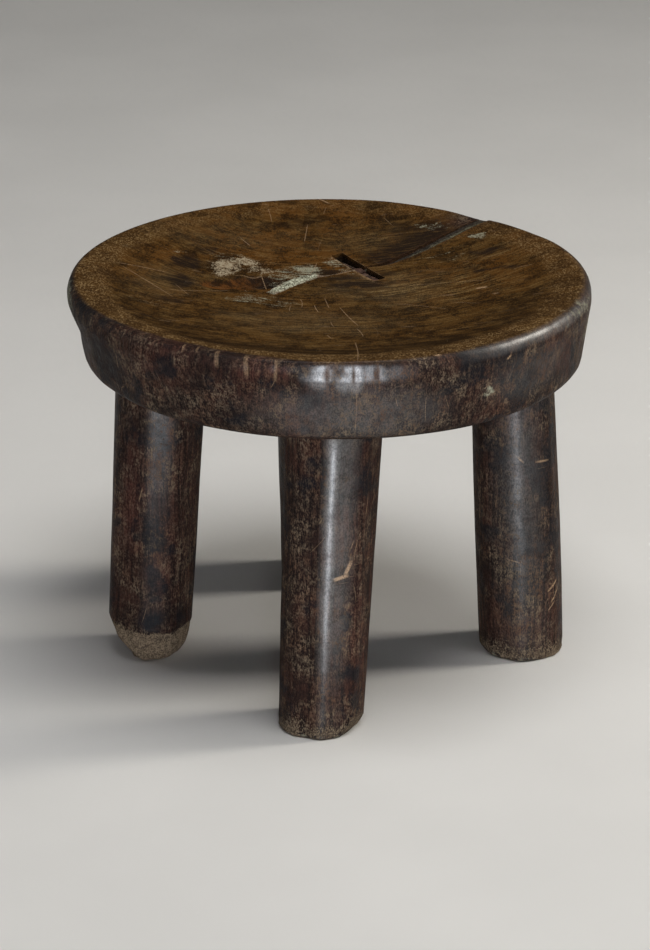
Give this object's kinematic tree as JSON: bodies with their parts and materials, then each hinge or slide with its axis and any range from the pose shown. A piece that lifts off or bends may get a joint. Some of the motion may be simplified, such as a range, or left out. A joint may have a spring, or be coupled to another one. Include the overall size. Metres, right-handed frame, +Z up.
{
  "type": "stool",
  "caption": "Low round dished stool on stout splayed legs, carved from one trunk, with a filled drying check held by an iron cramp.",
  "frame": {"origin": "on the floor, under the middle of the seat's widest circle", "axes": "+Z up, +X to the right and -Y to the front as the stool is seen in the picture"},
  "size_m": [0.32, 0.32, 0.247],
  "materials": {
    "patinated_wood": "dark oiled and worn hardwood, soft sheen",
    "rusted_iron": "forged, brown with rust",
    "grey_fill": "hard resin and dust, dull",
    "pale_fill": "dry clay, crackled",
    "brown_fill": "hard resin, dull"
  },
  "bodies": {
    "root": {"carved_block": "patinated_wood", "iron_cramp": "rusted_iron", "grey_check_fill": "grey_fill", "pale_pith_fill": "pale_fill", "cramp_bridge_fill": "brown_fill"}
  },
  "joints": []
}
